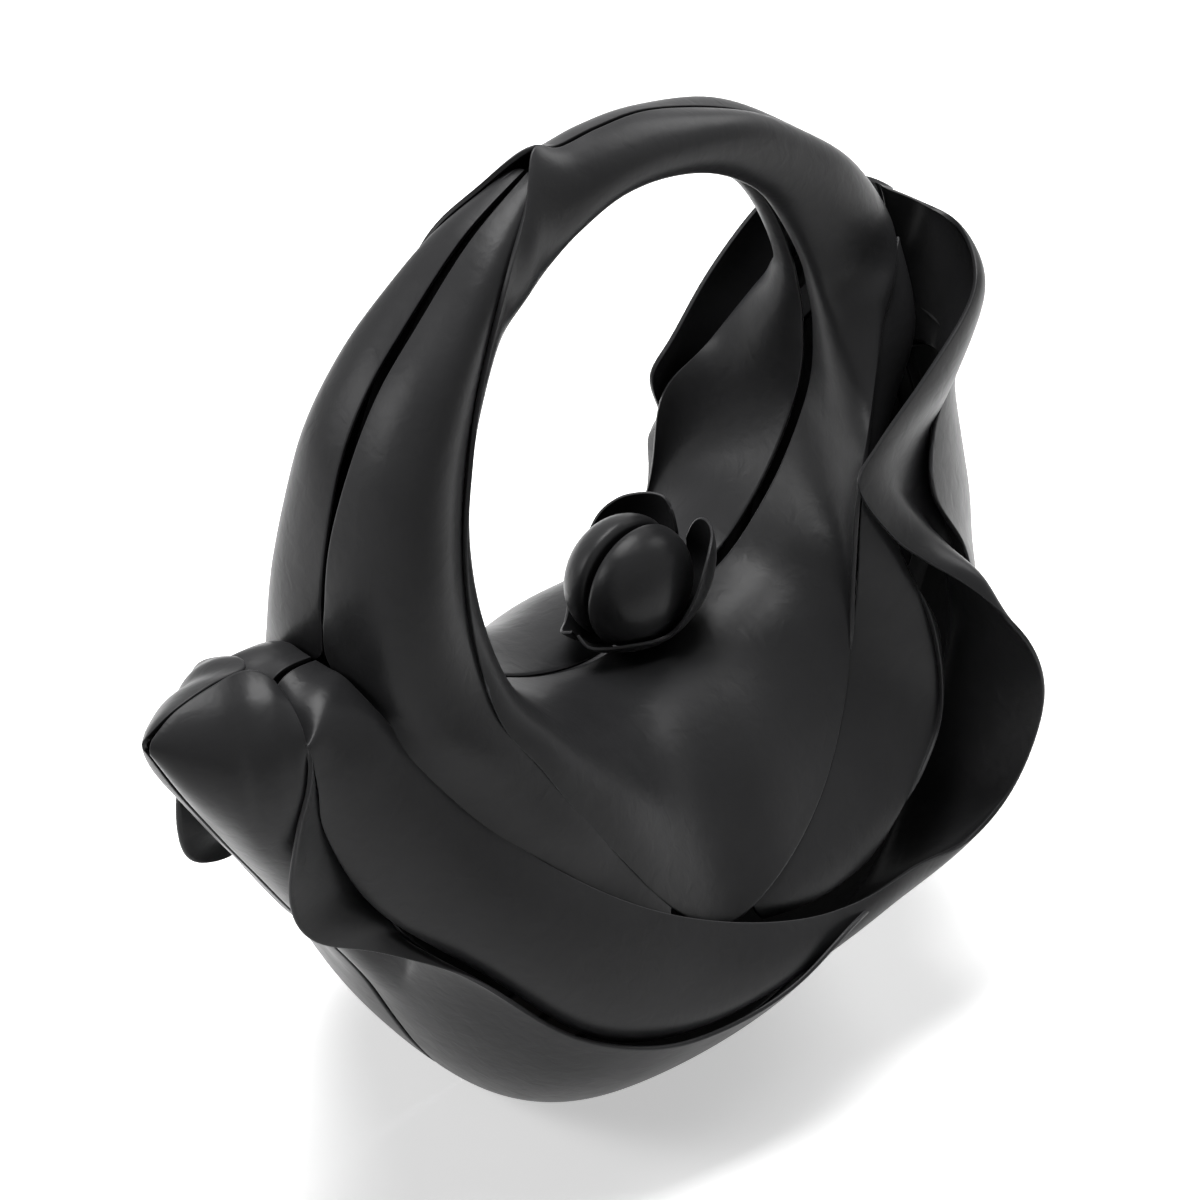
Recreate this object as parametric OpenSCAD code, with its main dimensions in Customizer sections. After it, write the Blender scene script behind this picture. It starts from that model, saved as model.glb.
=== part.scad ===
// Sculptural handbag of moulded leather, in two mirror halves that open on a leather
// hinge along the keel. Each half is a nest of petals: the outer hull with its beak, the
// band inside it, the back leaf, the lobe on the front stem, and the sheath that forms
// the ring handle, the stems and the saddle. A bud sits on the saddle.
// X runs from the beak (-X) to the tail (+X), Y across the seam, Z up. The origin is on
// the floor, in the middle of the bag's length. The right half is the one at -Y.

/* [Overall] */
// Length from the beak to the tail
bag_l = 348; // [300:1:400]
// Width over both halves
bag_w = 190; // [170:1:220]
// Height to the tip of the hood
bag_h = 340; // [300:1:380]

/* [Leather] */
// Thickness of the moulded outer leather
shell_t = 1.5; // [1:0.1:1.8]
// Thickness of the thin leather lining
lining_t = 0.8; // [0.5:0.1:1]
// Air and glue line between two layers
layer_gap = 0.4; // [0.3:0.1:0.6]
// Gap between the two halves where they meet
seam_gap = 0.2; // [0.2:0.1:1]
// Width of the slot along the handle, the saddle and the bud
slot_w = 1.6; // [1.2:0.1:2.4]

/* [Base] */
// Thickness of the sole and of the hinge strip
sole_t = 1.2; // [1:0.1:2]
// Length of the flat sole
sole_l = 78; // [60:1:90]
// Width of the sole on each half, without the hinge strip
sole_w = 11; // [8:1:12]
// Width of the hinge strip on each half
strip_w = 8; // [6:0.5:10]
// Thickness of the boards that stiffen the saddle and the base
board_t = 1.4; // [1:0.1:2]

/* [Handle core] */
// Depth of the half-round core, across the seam
core_depth = 9; // [6:0.5:10]
// Radius of a closing magnet
magnet_r = 4; // [3:0.5:5]
// Thickness of a closing magnet
magnet_t = 2.5; // [2:0.5:4]
// Clearance of a magnet in its pocket
magnet_fit = 0.1; // [0.05:0.05:0.3]

/* [Bud] */
// Radius of the bud, seen from its side
bud_r = 21; // [18:0.5:23]
// Depth of each half of the bud, across the seam
bud_depth = 19; // [16:0.5:21]
// Thickness of the leather over the bud
bud_t = 1.2; // [0.8:0.1:1.6]
// Thickness of the calyx leather
calyx_t = 1; // [0.8:0.1:1.4]

/* [Hidden] */

leather = [0.07, 0.07, 0.075];
lining_c = [0.16, 0.15, 0.15];
board_c = [0.45, 0.36, 0.26];
foam_c = [0.04, 0.04, 0.042];
steel_c = [0.7, 0.7, 0.72];

// The ribs below are drawn for a bag of this size, whose middle is at mid_x.
drawn = [348, 190, 340];
mid_x = 12.3;
grow = [bag_l / drawn.x, bag_w / drawn.y, bag_h / drawn.z];
half_gap = seam_gap / 2;
half_slot = slot_w / 2;
across = 8; // facets across a petal
along = 2; // facets from one rib to the next
under_shell = shell_t + layer_gap;
under_lining = under_shell + lining_t + layer_gap;
over = 0.5; // how far a cut runs past the face it opens

// A drawn point, at this bag's size, measured from the origin
function put(p) = [(p.x - mid_x) * grow.x, p.y * grow.y, p.z * grow.z];
function fit(ribs) = [for (r = ribs) [for (p = r) put(p)]];

// A point stays on its own side of the seam and above the sole
function held(p) = [p.x, min(p.y, -half_gap), max(p.z, sole_t)];
function unit(v) = v / max(norm(v), 0.0001);

// A rib is a curve with four control points. Between two ribs the control points follow
// a smooth curve too. A loop closes on its first rib.
function rib_at(r, v) =
  pow(1 - v, 3) * r[0] + 3 * v * pow(1 - v, 2) * r[1] + 3 * v * v * (1 - v) * r[2] + pow(v, 3) * r[3];
function glide(a, b, c, d, t) =
  0.5 * (2 * b + (c - a) * t + (2 * a - 5 * b + 4 * c - d) * t * t
         + (3 * b - a - 3 * c + d) * t * t * t);
function pick(i, n, loop) = loop ? (i + n) % n : max(0, min(n - 1, i));
function between(ribs, u, loop) =
  let (n = len(ribs), i = floor(u), t = u - i,
       a = ribs[pick(i - 1, n, loop)], b = ribs[pick(i, n, loop)],
       c = ribs[pick(i + 1, n, loop)], d = ribs[pick(i + 2, n, loop)])
  [for (k = [0:3]) glide(a[k], b[k], c[k], d[k], t)];
function on(ribs, u, v, loop) = held(rib_at(between(ribs, u, loop), v));

// Outward direction of a petal. side is 1 or -1, for the way its ribs were laid.
function outward(ribs, u, v, loop, side) =
  let (e = 0.04, top = loop ? len(ribs) : len(ribs) - 1,
       u0 = loop ? u - e : max(0, u - e), u1 = loop ? u + e : min(top, u + e),
       v0 = max(0, v - e), v1 = min(1, v + e))
  side * unit(cross(on(ribs, u1, v, loop) - on(ribs, u0, v, loop),
                    on(ribs, u, v1, loop) - on(ribs, u, v0, loop)));

// A point that lies the given depth under a petal's outer face
function under(ribs, u, v, depth, loop = false, side = 1) =
  held(on(ribs, u, v, loop) - depth * outward(ribs, u, v, loop, side));

// One sheet of leather: the part of a petal from rib u0 to u1 and from v0 to v1 across,
// from top_d to low_d under its outer face
module sheet(ribs, top_d, low_d, loop = false, side = 1, u0 = 0, u1 = -1, v0 = 0, v1 = 1,
             rows = along, cols = across) {
  last = loop ? len(ribs) : (u1 < 0 ? len(ribs) - 1 : u1);
  m = ceil((last - u0) * rows);
  full = loop ? m : m + 1;
  function grid(depth) =
    [for (i = [0:full - 1], j = [0:cols])
      under(ribs, u0 + (last - u0) * i / m, v0 + (v1 - v0) * j / cols, depth, loop, side)];
  count = full * (cols + 1);
  function id(i, j, layer) = (i % full) * (cols + 1) + j + layer * count;
  function quad(a, b, c, d) = side > 0 ? [[a, c, b], [a, d, c]] : [[a, b, c], [a, c, d]];
  faces = [
    for (i = [0:m - 1], j = [0:cols - 1])
      each quad(id(i, j, 0), id(i + 1, j, 0), id(i + 1, j + 1, 0), id(i, j + 1, 0)),
    for (i = [0:m - 1], j = [0:cols - 1])
      each quad(id(i, j, 1), id(i, j + 1, 1), id(i + 1, j + 1, 1), id(i + 1, j, 1)),
    for (i = [0:m - 1])
      each quad(id(i, 0, 0), id(i, 0, 1), id(i + 1, 0, 1), id(i + 1, 0, 0)),
    for (i = [0:m - 1])
      each quad(id(i, cols, 0), id(i + 1, cols, 0), id(i + 1, cols, 1), id(i, cols, 1)),
    if (!loop) for (j = [0:cols - 1])
      each quad(id(0, j, 0), id(0, j + 1, 0), id(0, j + 1, 1), id(0, j, 1)),
    if (!loop) for (j = [0:cols - 1])
      each quad(id(m, j, 0), id(m, j, 1), id(m, j + 1, 1), id(m, j + 1, 0))
  ];
  polyhedron(points = concat(grid(top_d), grid(low_d)), faces = faces);
}

module left() mirror([0, 1, 0]) children();

// A sheet less the room that its neighbours take. resize() by nothing makes it one mesh.
module trimmed() resize([0, 0, 0]) difference() {
  children(0);
  for (i = [1:$children - 1]) children(i);
}

// ---- Ribs of the petals, right half, drawn in millimetres from the floor under the hood

// Hull: from the keel up to its rim, beak first
HULL = fit([
  [[-161, -1, 200], [-162, -2, 201], [-162, -2, 204], [-160, -1, 205]],
  [[-150, -1.6, 179], [-155, -12, 184], [-159, -12, 204], [-150, -0.4, 210]],
  [[-137, -1.6, 157], [-142, -25, 166], [-152, -24, 206], [-134, -0.4, 212]],
  [[-129, -1.6, 144], [-135, -27, 153], [-147, -29, 208], [-122, -0.4, 211]],
  [[-122, -1.6, 133], [-127, -28, 141], [-140, -34, 207], [-118, -9, 209]],
  [[-112, -1.6, 117], [-118, -28, 123], [-129, -29, 192], [-121, -24, 200]],
  [[-104, -1.6, 105], [-109, -27, 104], [-112, -20, 182], [-123, -27, 184]],
  [[-97, -1.6, 96], [-101, -26, 93], [-98, -18, 158], [-128, -26, 166]],
  [[-91, -1.6, 87], [-94, -27, 82], [-78, -22, 133], [-131, -25, 142]],
  [[-84, -1.6, 76], [-87, -30, 70], [-75, -37, 130], [-124, -27, 124]],
  [[-77, -1.6, 64], [-79, -32, 60], [-88, -40, 124], [-102, -34, 111]],
  [[-68, -1.6, 46], [-69, -40, 42], [-77, -56, 98], [-84, -54, 101]],
  [[-57, -1.6, 26], [-56, -46, 22], [-54, -70, 58], [-59, -72, 74]],
  [[-44, -1, 9], [-40, -46, 4], [-34, -74, 42], [-33, -85, 61]],
  [[-25, 0, 0], [-20, -48, -6], [-8, -76, 38], [-6, -91, 57]],
  [[0, 0, 0], [4, -48, -6], [18, -80, 38], [22, -95, 61]],
  [[30, 0, 0], [34, -46, -5], [48, -80, 44], [51, -94, 70]],
  [[60, 0, 0], [66, -42, 2], [80, -70, 42], [80, -80.5, 56]],
  [[90, 0, 10], [98, -38, 22], [107, -62, 42], [104, -72, 51]],
  [[118, 0, 26], [128, -34, 42], [137, -54, 62], [130, -65, 76]],
  [[145, 0, 50], [154, -30, 70], [155, -50, 96], [145, -57, 117]],
  [[168, 0, 82], [176, -30, 100], [161, -50, 128], [144, -54, 150]],
  [[184, 0, 118], [189, -26, 131], [158, -46, 156], [132, -49, 176]],
  [[184, 0, 148], [183, -22, 160], [160, -40, 180], [137, -43, 194]],
  [[177, 0, 176], [176, -20, 184], [161, -34, 198], [148, -38, 204]],
  [[168, 0, 198], [170, -16, 204], [168, -27, 210], [162, -30, 213]],
  [[163, 0, 212], [165, -6, 215], [165, -8, 219], [164, -6, 221]]
]);

// Sheath: a loop of ribs round the hand hole, from its inner seam to its outer edge
SHEATH = fit([
  [[48, -0.8, 311], [49, -18, 310], [50, -18, 332], [49, -0.8, 333]],
  [[27, -0.8, 313], [27, -18, 312], [26, -18, 334], [26, -0.8, 336]],
  [[9, -0.8, 308], [10, -18, 306], [8, -17, 334], [9, -0.8, 336]],
  [[-1, -0.8, 302], [-2, -17, 299], [-7, -17, 330], [-2, -0.8, 340]],
  [[-12, -0.8, 294], [-15, -14, 292], [-20, -22, 313], [-14, -10, 328]],
  [[-23, -0.8, 283], [-26, -12, 283], [-32, -20, 298], [-29, -18, 313]],
  [[-33, -0.8, 264], [-35, -11, 265], [-41, -20, 274], [-44, -22, 284]],
  [[-40, -0.8, 243], [-42, -11, 244], [-47, -20, 254], [-53, -26, 256]],
  [[-43, -0.8, 221], [-44, -12, 220], [-50, -26, 230], [-59, -30, 232]],
  [[-42, -0.8, 198], [-43, -18, 198], [-50, -34, 208], [-61, -36, 204]],
  [[-37, -0.8, 175], [-38, -26, 177], [-48, -46, 190], [-60, -45, 181]],
  [[-26, -0.8, 160.5], [-26, -34, 164], [-38, -55, 174], [-51, -52, 164]],
  [[-12, -0.8, 152], [-11, -40, 156], [-26, -61, 156], [-42, -58, 146]],
  [[0, -0.8, 146.5], [2, -43, 153], [-14, -66, 138], [-29, -65, 124]],
  [[14, -0.8, 142], [15, -43, 154], [0, -66, 120], [-11, -72.5, 96.5]],
  [[27, -0.8, 140.5], [27, -43, 155], [14, -64, 113], [8, -76.5, 82.5]],
  [[45, -0.8, 142.5], [46, -44, 153.5], [38, -64, 115], [34, -76.3, 91]],
  [[65, -2, 147], [66, -42, 153], [65, -57, 118], [64, -66, 103]],
  [[85, -2, 154], [86, -36, 156], [90, -46, 138], [88.5, -52.5, 124]],
  [[103, -2, 170], [102, -30, 168], [102, -42, 160], [96, -45.5, 153.5]],
  [[115, -2, 188], [112, -22, 186], [107, -38, 186], [99.5, -43.5, 187]],
  [[122, -2, 206], [114, -17, 204], [113, -31, 205], [113, -36, 205]],
  [[122, -2, 226], [112, -16, 222], [120, -30, 224], [129, -26, 228]],
  [[119, -2, 240], [110, -18, 236], [136, -30, 238], [148, -14, 242]],
  [[115, -2, 253], [106, -19, 248], [154, -22, 254], [156, -0.8, 252]],
  [[105, -0.8, 273], [97, -18, 268], [134, -20, 288], [139, -0.8, 278]],
  [[92, -0.8, 290], [86, -18, 284], [114, -18, 308], [116, -0.8, 298]],
  [[71, -0.8, 304], [69, -18, 299], [84, -18, 328], [86, -0.8, 318]]
]);

// A point tucked under the sheath's outer edge
function under_sheath(u, v = 0.9) = under(SHEATH, u, v, under_shell, true, -1);

// Band: its foot follows the inside of the hull at [rib, height across, depth], then two
// control points and the rim
BAND = [
  for (r = [
    [[6.2, 0.06, 4.5], [-120, -1.2, 200], [-119, -1.2, 206], [-95, -1.2, 201]],
    [[5.6, 0.7, 4.5], [-119, -12, 196], [-116, -8, 205], [-94, -6, 200]],
    [[5.3, 0.97, 2.2], [-113, -24, 197], [-106, -18, 203], [-94, -13, 200]],
    [[6.1, 0.9, 2.2], [-112, -29, 179], [-100, -32, 192], [-92, -24, 193]],
    [[7, 0.84, 2.5], [-107, -35, 156], [-93, -42, 172], [-84, -32, 177]],
    [[8.8, 0.8, 3.5], [-95, -47, 130], [-82, -53, 150], [-72, -44, 154]],
    [[11, 0.86, 4.5], [-75, -66, 102], [-62, -68, 122], [-52, -60, 130]],
    [[12.3, 0.94, 4.5], [-50, -80, 82], [-36, -80, 98], [-27, -72, 108]],
    [[13.5, 0.95, 4.5], [-18, -90, 66], [-6, -87, 80], [2, -80, 90]],
    [[14.7, 0.94, 4.5], [14, -94, 60], [26, -93, 70], [33, -86, 77]],
    [[15.6, 0.88, 4.5], [41, -90, 56], [53, -94, 64], [60, -88, 71]],
    [[16.6, 0.76, 4.5], [63, -77, 48], [78, -92, 58.5], [84.8, -90, 72.3]],
    [[17.4, 0.72, 4.5], [90, -66, 46.5], [105, -87.5, 60], [110, -91, 70]],
    [[18.1, 0.7, 4.5], [108, -56, 58], [123, -75, 69], [133.2, -90, 81.2]],
    [[18.7, 0.72, 4.5], [121, -49, 80], [136, -74, 94], [143.2, -91, 109.8]],
    [[19.4, 0.76, 4.5], [130, -47, 104], [144, -76, 121], [138.4, -87, 133.7]],
    [[20.1, 0.82, 4.5], [137, -47, 128], [140, -79, 160], [127, -73, 151.5]],
    [[20.8, 0.86, 4.5], [133, -44, 148], [140, -59, 166], [116, -60, 163.4]],
    [[21.5, 0.88, 4.5], [128, -42, 163], [131, -52, 176], [107.3, -53, 173.6]],
    [[22.1, 0.88, 4.5], [122, -42, 184], [112, -50, 196], [96.8, -47, 194.7]],
    [[22.8, 0.9, 4.5], [132, -42, 198], [121, -49, 206], [106.7, -46.5, 206]],
    [[23.4, 0.86, 4.5], [147, -42, 208], [141, -50, 219], [125.5, -48, 222.6]],
    [[24, 0.8, 4.5], [158, -36, 216], [161, -47, 235.5], [147.3, -46.5, 239.4]],
    [[24.5, 0.74, 4.5], [165, -29, 226], [170, -40, 244], [158.5, -39, 248.5]],
    [[25, 0.5, 4.5], [166, -17, 231], [173, -24.5, 250], [169.5, -21, 251.7]],
    [[25.3, 0.2, 4.5], [163, -7, 231], [169.5, -7, 248.5], [168.6, -6, 253.4]],
    [[25.5, 0.02, 4.5], [159, 0, 230], [161, 0, 252], [154, 0, 263.5]]
  ])
    [under(HULL, r[0][0], r[0][1], r[0][2]), put(r[1]), put(r[2]), put(r[3])]
];

// Stem lobe: from the front slot, and lower down from inside the band, to under the sheath
LOBE = concat(
  [for (r = [
    [[-4, -0.8, 333], [-4, -2.2, 333], [-5, -3.6, 333.4], 3.5],
    [[-29, -1.6, 320], [-29, -9, 320.5], [-28.5, -15.5, 319], 4.8],
    [[-52, -2, 300], [-53, -15, 302], [-48, -25, 300], 5.6],
    [[-68, -2, 284], [-69, -19, 286], [-60, -31, 284], 6.2],
    [[-80, -2, 264], [-81, -23, 266], [-71, -36, 262], 6.9],
    [[-88, -0.8, 240], [-87, -26, 242], [-76, -41, 238], 7.8],
    [[-91, -0.8, 218], [-93, -26, 218], [-82, -44, 212], 8.8],
    [[-91, -0.8, 199], [-95, -24, 199], [-84, -47, 190], 9.7]
  ]) [put(r[0]), put(r[1]), put(r[2]), under_sheath(r[3])]],
  [for (r = [
    [3.4, [-83, -34, 182], [-76, -52, 177], 10.6],
    [4.8, [-68, -47, 163], [-60, -57, 157], 11.6],
    [5.7, [-53, -56, 142], [-46, -64, 137], 12.6],
    [6.5, [-36, -63, 122], [-30, -68, 118], 13.3],
    [7.1, [-24, -69, 108], [-18, -71, 106], 13.8],
    [7.5, [-14.5, -71, 100.5], [-11.3, -71.5, 99.5], 14.1]
  ]) [under(BAND, r[0], 0.9, under_lining), put(r[1]), put(r[2]), under_sheath(r[3])]]
);

// Back leaf: from under the sheath's rear edge to its free edge inside the band
LEAF = [
  for (r = [
    [15.4, [20, -76.5, 81.5], [22, -77, 78.5], [24, -77, 76.5]],
    [16, [36, -79, 85], [42, -81, 79.5], [46, -81, 75]],
    [16.8, [63.2, -76.2, 91.2], [70.4, -79.8, 80], [75.3, -79, 77]],
    [17.4, [87, -69.8, 101.6], [100.5, -74.3, 89], [100.5, -74, 92.5]],
    [18, [104.6, -63.3, 116.7], [122.6, -66, 101.4], [118.3, -66.5, 106.9]],
    [18.8, [111.1, -59.4, 139.9], [128.2, -62.1, 127.3], [118.6, -60.5, 137.5]],
    [19.6, [108.5, -52.5, 165.9], [119.3, -52.5, 156.9], [116, -48, 160]],
    [20.4, [112, -42, 186], [119, -38, 182], [118, -34, 184]],
    [21.2, [122, -35, 206], [130, -33, 202], [132, -29, 203]],
    [22.1, [138, -27, 226], [147, -26, 222], [150, -22, 223]],
    [22.7, [149, -12, 244], [153, -11, 246], [155, -9, 247]]
  ])
    [under_sheath(r[0]), put(r[1]), put(r[2]), put(r[3])]
];

// Handle core: centre [x, z] of each half-round section and its half width
CORE = [
  [-67, 204, 16], [-64, 226, 16], [-60, 246, 15], [-54, 266, 13], [-44, 284, 10],
  [-31, 300, 8], [-14, 313, 8], [5, 322, 9], [27, 324, 8], [49, 321, 7],
  [78, 311, 7], [103, 294, 8], [121, 275, 11], [135, 254, 14], [134, 244, 10]
];

// Closing magnets: places along the core, as section numbers
MAGNETS = [1, 4, 8, 12];

// ---- Pieces of one half

module hull() color(leather) sheet(HULL, 0, shell_t);

// Room that a petal takes, from its outer face to the given depth
module room(ribs, depth, loop = false, side = 1)
  sheet(ribs, -layer_gap, depth, loop, side);

// A layer under a petal, on the same facets, from facet j0 to j1 across
module layer(ribs, thick, u0, u1, j0, j1, side = 1)
  sheet(ribs, under_shell, under_shell + thick, side = side, u0 = u0, u1 = u1,
        v0 = j0 / across, v1 = j1 / across, cols = j1 - j0);

module hull_lining() color(lining_c) layer(HULL, lining_t, 5, 25, 1, 6);

module band() color(leather) trimmed() {
  sheet(BAND, 0, shell_t);
  room(HULL, under_shell - layer_gap / 4);
}

module back_leaf() color(leather) trimmed() {
  sheet(LEAF, 0, shell_t, side = -1, cols = 5);
  room(SHEATH, under_shell - layer_gap / 4, loop = true, side = -1);
  room(BAND, under_lining);
}

module stem_lobe() color(leather) trimmed() {
  sheet(LOBE, 0, shell_t, cols = 7);
  room(SHEATH, under_shell - layer_gap / 4, loop = true, side = -1);
  room(BAND, under_lining - layer_gap / 4);
}

module handle_sheath() color(leather) sheet(SHEATH, 0, shell_t, loop = true, side = -1);

module saddle_board() color(board_c) layer(SHEATH, board_t, 13, 18, 1, 4, side = -1);

// Half-round rod through the ring and the front stem
module core_rod() {
  sides = 6;
  n = len(CORE);
  c = [for (s = CORE) put([s[0], 0, s[1]])];
  function heading(i) = unit(c[min(n - 1, i + 1)] - c[max(0, i - 1)]);
  function ring(i) =
    let (h = heading(i), out = [-h.z, 0, h.x], a = CORE[i][2] * grow.x)
    [for (k = [0:sides]) let (w = 180 * k / sides)
      c[i] + out * a * cos(w) + [0, -half_slot - core_depth * sin(w), 0]];
  w = sides + 1;
  polyhedron(
    points = [for (i = [0:n - 1]) each ring(i)],
    faces = [
      for (i = [0:n - 2], k = [0:sides - 1])
        each [[i * w + k, (i + 1) * w + k + 1, i * w + k + 1],
              [i * w + k, (i + 1) * w + k, (i + 1) * w + k + 1]],
      for (i = [0:n - 2])
        each [[i * w + sides, (i + 1) * w, i * w],
              [i * w + sides, (i + 1) * w + sides, (i + 1) * w]],
      [for (k = [0:sides]) k],
      [for (k = [0:sides]) (n - 1) * w + sides - k]
    ]);
}

module at_magnets(extra_r, extra_t)
  for (i = MAGNETS)
    translate(put([CORE[i][0], 0, CORE[i][1]]) - [0, half_slot, 0])
      rotate([90, 0, 0])
        cylinder(r = magnet_r + extra_r, h = magnet_t + extra_t, $fn = 32);

module handle_core() color(foam_c) difference() {
  core_rod();
  translate([0, over, 0]) at_magnets(magnet_fit, magnet_fit + over);
}

module magnets() color(steel_c) at_magnets(0, 0);

// Room that the saddle takes under the bud
bud_seat = 6; // deeper than the bud reaches into the saddle
module saddle_room()
  sheet(SHEATH, -layer_gap, bud_seat, side = -1, u0 = 13, u1 = 18, v1 = 3 / across, cols = 3);

bud_at = put([40, 0, 163.5]);

// Half of the bud, turned round an axis across the seam, less the given skin. It is flat
// at the slot, with a soft lip round it.
lip = 3;
module bud_half(skin) {
  r = bud_r - skin;
  flat = half_slot + skin;
  deep = bud_depth - skin - flat - lip;
  translate(bud_at) rotate([90, 0, 0])
    rotate_extrude($fn = 48)
      polygon([
        [0, flat],
        for (a = [0:30:60]) [r - lip + lip * sin(a), flat + lip * (1 - cos(a))],
        for (a = [0:10:80]) [r * cos(a), flat + lip + deep * sin(a)],
        [0, flat + lip + deep]
      ]);
}

module bud() color(leather) difference() {
  bud_half(0);
  bud_half(bud_t);
  saddle_room();
}

module bud_core() color(board_c) difference() {
  bud_half(bud_t + layer_gap / 4);
  saddle_room();
}

// Calyx: a leather cup round the outer side of the bud, with a sepal that curls out at the
// front and one that stands up at the rear. Each row is the direction round the bud from
// the front, the elevation of the rim there, and how far the rim turns out.
SEPALS = [
  [4, -20, 3], [16, -24, 4.5], [30, -29, 2.2], [44, -30, 1], [58, -29, 0.8], [74, -30, 0.8],
  [86, -26, 1.4], [94, -12, 2.6], [102, 5, 4.2], [112, 20, 6.2], [126, 28, 7.8], [140, 30, 8.6],
  [152, 31, 8.6], [161, 31, 7.4], [168, 26, 4.8], [174, 14, 2.2]
];
calyx_foot = -66;
calyx_r = [bud_r, bud_depth, bud_r] + [1, 1, 1] * (layer_gap + calyx_t);

// A point of the calyx at the given direction and elevation, and the way up from it
function on_bud(a, e) = [-cos(e) * cos(a), -cos(e) * sin(a), sin(e)];
function up_bud(a, e) = [sin(e) * cos(a), sin(e) * sin(a), cos(e)];
function times(p, q) = [p.x * q.x, p.y * q.y, p.z * q.z];
CALYX = [
  for (s = SEPALS)
    let (a = s[0], low = calyx_foot, tip = s[1], turn = s[2] / bud_r,
         k = 4 / 3 * tan((tip - low) / 4))
    [for (p = [on_bud(a, low), on_bud(a, low) + k * up_bud(a, low),
               (on_bud(a, tip) - k * up_bud(a, tip)) * (1 + 0.6 * turn),
               on_bud(a, tip) * (1 + turn)])
      bud_at + times(p, calyx_r)]
];

module calyx() color(leather) trimmed() {
  sheet(CALYX, 0, calyx_t, side = -1, cols = 5);
  saddle_room();
}

// Plate with a half-round outer side, of the given reach from the seam
module half_plate(length, inner, outer, thick, low) {
  mid = put([17, 0, 0]);
  corner = min(outer - inner, length / 2) * 0.8;
  translate([mid.x, 0, low])
    linear_extrude(thick)
      intersection() {
        translate([-length / 2, -outer]) square([length, outer - inner]);
        offset(r = corner) offset(delta = -corner)
          translate([-length / 2, -outer]) square([length, 2 * outer]);
      }
}

module keel_strip() color(leather) half_plate(sole_l, half_gap, strip_w, sole_t, 0);

module sole() color(leather)
  half_plate(sole_l, strip_w + layer_gap, strip_w + layer_gap + sole_w, sole_t, 0);

board_in = 5; // how far the base board's edge lies inside the sole's
module base_board() color(board_c)
  half_plate(sole_l - 3 * board_in, half_slot + 1, strip_w + sole_w - board_in, board_t,
             sole_t + under_shell);

hull();  // hull_right
left() hull();  // hull_left
hull_lining();  // hull_lining_right
left() hull_lining();  // hull_lining_left
band();  // band_right
left() band();  // band_left
back_leaf();  // back_leaf_right
left() back_leaf();  // back_leaf_left
stem_lobe();  // stem_lobe_right
left() stem_lobe();  // stem_lobe_left
handle_sheath();  // handle_sheath_right
left() handle_sheath();  // handle_sheath_left
handle_core();  // handle_core_right
left() handle_core();  // handle_core_left
magnets();  // magnets_right
left() magnets();  // magnets_left
saddle_board();  // saddle_board_right
left() saddle_board();  // saddle_board_left
bud();  // bud_right
left() bud();  // bud_left
bud_core();  // bud_core_right
left() bud_core();  // bud_core_left
calyx();  // calyx_right
left() calyx();  // calyx_left
base_board();  // base_board_right
left() base_board();  // base_board_left
sole();  // sole_right
left() sole();  // sole_left
keel_strip();  // keel_strip_right
left() keel_strip();  // keel_strip_left
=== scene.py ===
# Sculptural handbag of moulded black leather: two mirror halves on a leather hinge along the
# keel, with nested petals, a ring handle and a small bud. Drawn sizes are in millimetres.

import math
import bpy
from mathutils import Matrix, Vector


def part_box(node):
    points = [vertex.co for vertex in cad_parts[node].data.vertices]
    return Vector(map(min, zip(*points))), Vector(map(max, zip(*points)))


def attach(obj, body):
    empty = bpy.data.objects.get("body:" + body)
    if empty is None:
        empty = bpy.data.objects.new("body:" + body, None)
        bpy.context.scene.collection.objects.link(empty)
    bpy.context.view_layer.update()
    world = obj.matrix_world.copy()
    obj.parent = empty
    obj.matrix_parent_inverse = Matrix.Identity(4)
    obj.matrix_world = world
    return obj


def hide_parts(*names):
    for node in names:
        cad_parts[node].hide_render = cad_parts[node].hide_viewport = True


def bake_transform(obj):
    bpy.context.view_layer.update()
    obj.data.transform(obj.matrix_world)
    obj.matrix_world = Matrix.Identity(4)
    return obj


bl_info = {
    "name": "Petal Handbag",
    "version": (1, 0, 0),
    "blender": (4, 5, 0),
    "location": "3D View > Sidebar > Handbag",
    "description": "Models a moulded leather handbag round its packed parts",
    "category": "Object",
}

import bmesh
import bpy
from bpy.props import FloatProperty, IntProperty, PointerProperty, StringProperty
from mathutils import Matrix, Vector

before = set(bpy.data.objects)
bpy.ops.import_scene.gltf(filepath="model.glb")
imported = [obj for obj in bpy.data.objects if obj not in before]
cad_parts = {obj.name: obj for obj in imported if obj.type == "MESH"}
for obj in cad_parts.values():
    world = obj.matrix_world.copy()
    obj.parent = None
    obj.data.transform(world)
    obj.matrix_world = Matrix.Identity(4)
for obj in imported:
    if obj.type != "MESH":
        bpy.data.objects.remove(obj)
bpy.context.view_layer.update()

MM = 0.001
MID_X = 12.3  # the drawn middle of the bag's length
HALF_GAP = 0.1  # half of the seam where the halves meet
SLOT = 0.8  # half of the slot along the handle, the saddle and the bud
SHELL = 1.5  # moulded outer leather
LINING = 0.8  # thin leather lining
BUD_SKIN = 1.2  # leather over the bud
BUD_LIP = 3  # soft edge of a half bud round the slot
CALYX = 1.0  # calyx leather
LAYER_GAP = 0.4  # glue line between two layers
UNDER_SHELL = SHELL + LAYER_GAP
UNDER_LINING = UNDER_SHELL + LINING + LAYER_GAP
TUCK = 0.9  # how far across a petal the next one starts under it
SOLE_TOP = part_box("sole_right")[1][2] / MM
BODIES = {"right": "right_half", "left": "left_half"}

# Share of a laid grid that the narrow faces take along its sides and at its ends
SIDE_MARGIN = 0.006
END_MARGIN = 0.001
LAST_ROW = 1 - 1e-7  # just short of the last rib, so that the row still lies between two ribs

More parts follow.
